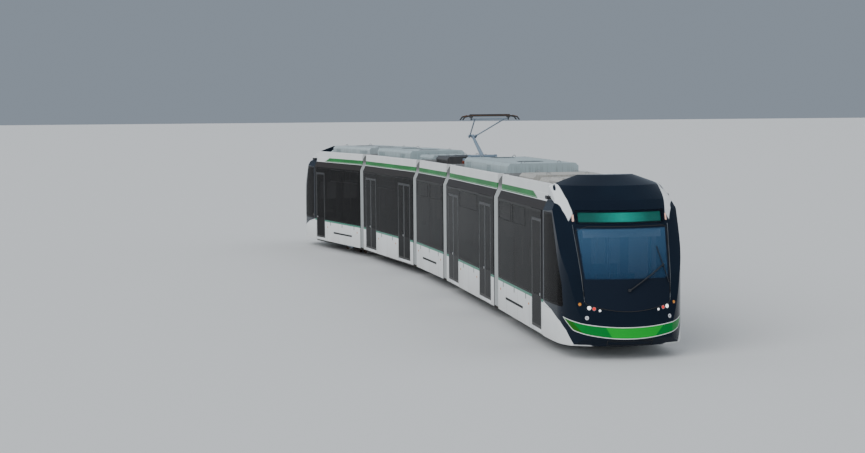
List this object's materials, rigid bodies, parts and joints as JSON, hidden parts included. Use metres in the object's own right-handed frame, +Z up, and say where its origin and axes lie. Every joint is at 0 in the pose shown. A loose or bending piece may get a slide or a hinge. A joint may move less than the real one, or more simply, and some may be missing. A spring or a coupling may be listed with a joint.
{
  "type": "articulated tram",
  "caption": "Low-floor articulated tram with rounded glossy cabs, flush dark glazing, folded gangway covers and a raised roof pantograph.",
  "frame": {"origin": "centre of the whole tram's bounding box, on the level of the rails' heads below its wheel flanges' lowest points", "axes": "+X forwards along the middle section, +Z up, +Y to the tram's left"},
  "size_m": [31.292, 4.2014, 4.8074],
  "materials": {
    "arm_grey": "satin",
    "bellows_grey": "matt",
    "body_white": "satin",
    "bogie_steel": "satin",
    "floor_grey": "matt",
    "frame_dark": "satin",
    "glass_tint": "gloss",
    "gloss_black": "gloss",
    "lamp_glass": "gloss",
    "roof_grey": "satin",
    "seat_fabric": "matt",
    "trim_black": "matt",
    "wheel_steel": "worn"
  },
  "bodies": {
    "front_section": {"front_apron": "body_white", "front_bogie": "bogie_steel", "front_doors": "frame_dark", "front_fittings": "trim_black", "front_floor": "floor_grey", "front_glass": "glass_tint", "front_interior": "seat_fabric", "front_lamps": "lamp_glass", "front_mask": "gloss_black", "front_roof": "body_white", "front_roof_gear": "roof_grey", "front_sides": "body_white"},
    "fore_section": {"fore_doors": "frame_dark", "fore_floor": "floor_grey", "fore_glass": "glass_tint", "fore_roof": "body_white", "fore_roof_gear": "roof_grey", "fore_seats": "seat_fabric", "fore_sides": "body_white", "bellows_fore": "bellows_grey", "bellows_front": "bellows_grey"},
    "middle_section": {"middle_bogie": "bogie_steel", "middle_floor": "floor_grey", "middle_glass": "glass_tint", "middle_roof": "body_white", "middle_roof_gear": "roof_grey", "middle_seats": "seat_fabric", "middle_sides": "body_white", "pantograph_base": "arm_grey"},
    "aft_section": {"aft_doors": "frame_dark", "aft_floor": "floor_grey", "aft_glass": "glass_tint", "aft_roof": "body_white", "aft_roof_gear": "roof_grey", "aft_seats": "seat_fabric", "aft_sides": "body_white", "bellows_aft": "bellows_grey", "bellows_rear": "bellows_grey"},
    "rear_section": {"rear_apron": "body_white", "rear_bogie": "bogie_steel", "rear_doors": "frame_dark", "rear_fittings": "trim_black", "rear_floor": "floor_grey", "rear_glass": "glass_tint", "rear_interior": "seat_fabric", "rear_lamps": "lamp_glass", "rear_mask": "gloss_black", "rear_roof": "body_white", "rear_roof_gear": "roof_grey", "rear_sides": "body_white"},
    "wheelset_1": {"wheelset_1": "wheel_steel"},
    "wheelset_2": {"wheelset_2": "wheel_steel"},
    "wheelset_3": {"wheelset_3": "wheel_steel"},
    "wheelset_4": {"wheelset_4": "wheel_steel"},
    "wheelset_5": {"wheelset_5": "wheel_steel"},
    "wheelset_6": {"wheelset_6": "wheel_steel"},
    "lower_arm": {"pantograph_lower_arm": "arm_grey"},
    "upper_arm": {"pantograph_upper_arm": "arm_grey"},
    "head": {"pantograph_head": "trim_black"},
    "thrust_rod": {"pantograph_rod": "arm_grey"}
  },
  "joints": [
    {"name": "fore_pivot", "type": "hinge", "parent": "middle_section", "child": "fore_section", "pos_m": [2.05575, 0.77574, 0.3], "axis": [0, 0, 1], "range_deg": [-18.1, 21.9], "deforming": ["bellows_fore"]},
    {"name": "front_pivot", "type": "hinge", "parent": "fore_section", "child": "front_section", "pos_m": [8.65212, 0.55692, 0.3], "axis": [0, 0, 1], "range_deg": [-19, 21], "deforming": ["bellows_front"]},
    {"name": "aft_pivot", "type": "hinge", "parent": "middle_section", "child": "aft_section", "pos_m": [-2.14425, 0.77574, 0.3], "axis": [0, 0, 1], "range_deg": [-24.4, 15.6], "deforming": ["bellows_aft"]},
    {"name": "rear_pivot", "type": "hinge", "parent": "aft_section", "child": "rear_section", "pos_m": [-8.7248, 0.2694, 0.3], "axis": [0, 0, 1], "range_deg": [-26.1, 13.9], "deforming": ["bellows_rear"]},
    {"name": "axle_1", "type": "hinge", "parent": "front_section", "child": "wheelset_1", "pos_m": [11.59834, 0.40767, 0.325], "axis": [0.0506, 0.9987, 0], "continuous": true},
    {"name": "axle_2", "type": "hinge", "parent": "front_section", "child": "wheelset_2", "pos_m": [9.80065, 0.49874, 0.325], "axis": [0.0506, 0.9987, 0], "continuous": true},
    {"name": "axle_3", "type": "hinge", "parent": "middle_section", "child": "wheelset_3", "pos_m": [0.85575, 0.77574, 0.325], "axis": [0, 1, 0], "continuous": true},
    {"name": "axle_4", "type": "hinge", "parent": "middle_section", "child": "wheelset_4", "pos_m": [-0.94425, 0.77574, 0.325], "axis": [0, 1, 0], "continuous": true},
    {"name": "axle_5", "type": "hinge", "parent": "rear_section", "child": "wheelset_5", "pos_m": [-9.85554, 0.05983, 0.325], "axis": [-0.1822, 0.9833, 0], "continuous": true},
    {"name": "axle_6", "type": "hinge", "parent": "rear_section", "child": "wheelset_6", "pos_m": [-11.6254, -0.2682, 0.325], "axis": [-0.1822, 0.9833, 0], "continuous": true},
    {"name": "lower_arm_raise", "type": "hinge", "parent": "middle_section", "child": "lower_arm", "pos_m": [1.05575, 0.77574, 3.65], "axis": [0, 1, 0], "range_deg": [-19, 25]},
    {"name": "upper_arm_fold", "type": "hinge", "parent": "lower_arm", "child": "upper_arm", "pos_m": [-0.12245, 0.77574, 4.1994], "axis": [0, 1, 0], "range_deg": [-37.5, 28.5]},
    {"name": "head_level", "type": "hinge", "parent": "upper_arm", "child": "head", "pos_m": [1.91517, 0.77574, 4.70744], "axis": [0, 1, 0], "range_deg": [-9.5, 12.5]},
    {"name": "thrust_rod_swing", "type": "hinge", "parent": "middle_section", "child": "thrust_rod", "pos_m": [0.98075, 0.77574, 3.5942], "axis": [0, 1, 0], "range_deg": [-19.3, 25.4]}
  ],
  "couplings": [
    {"joint": "upper_arm_fold", "follows": "lower_arm_raise", "ratio": -1.5},
    {"joint": "head_level", "follows": "lower_arm_raise", "ratio": 0.5},
    {"joint": "thrust_rod_swing", "follows": "lower_arm_raise", "ratio": 1.0105}
  ]
}
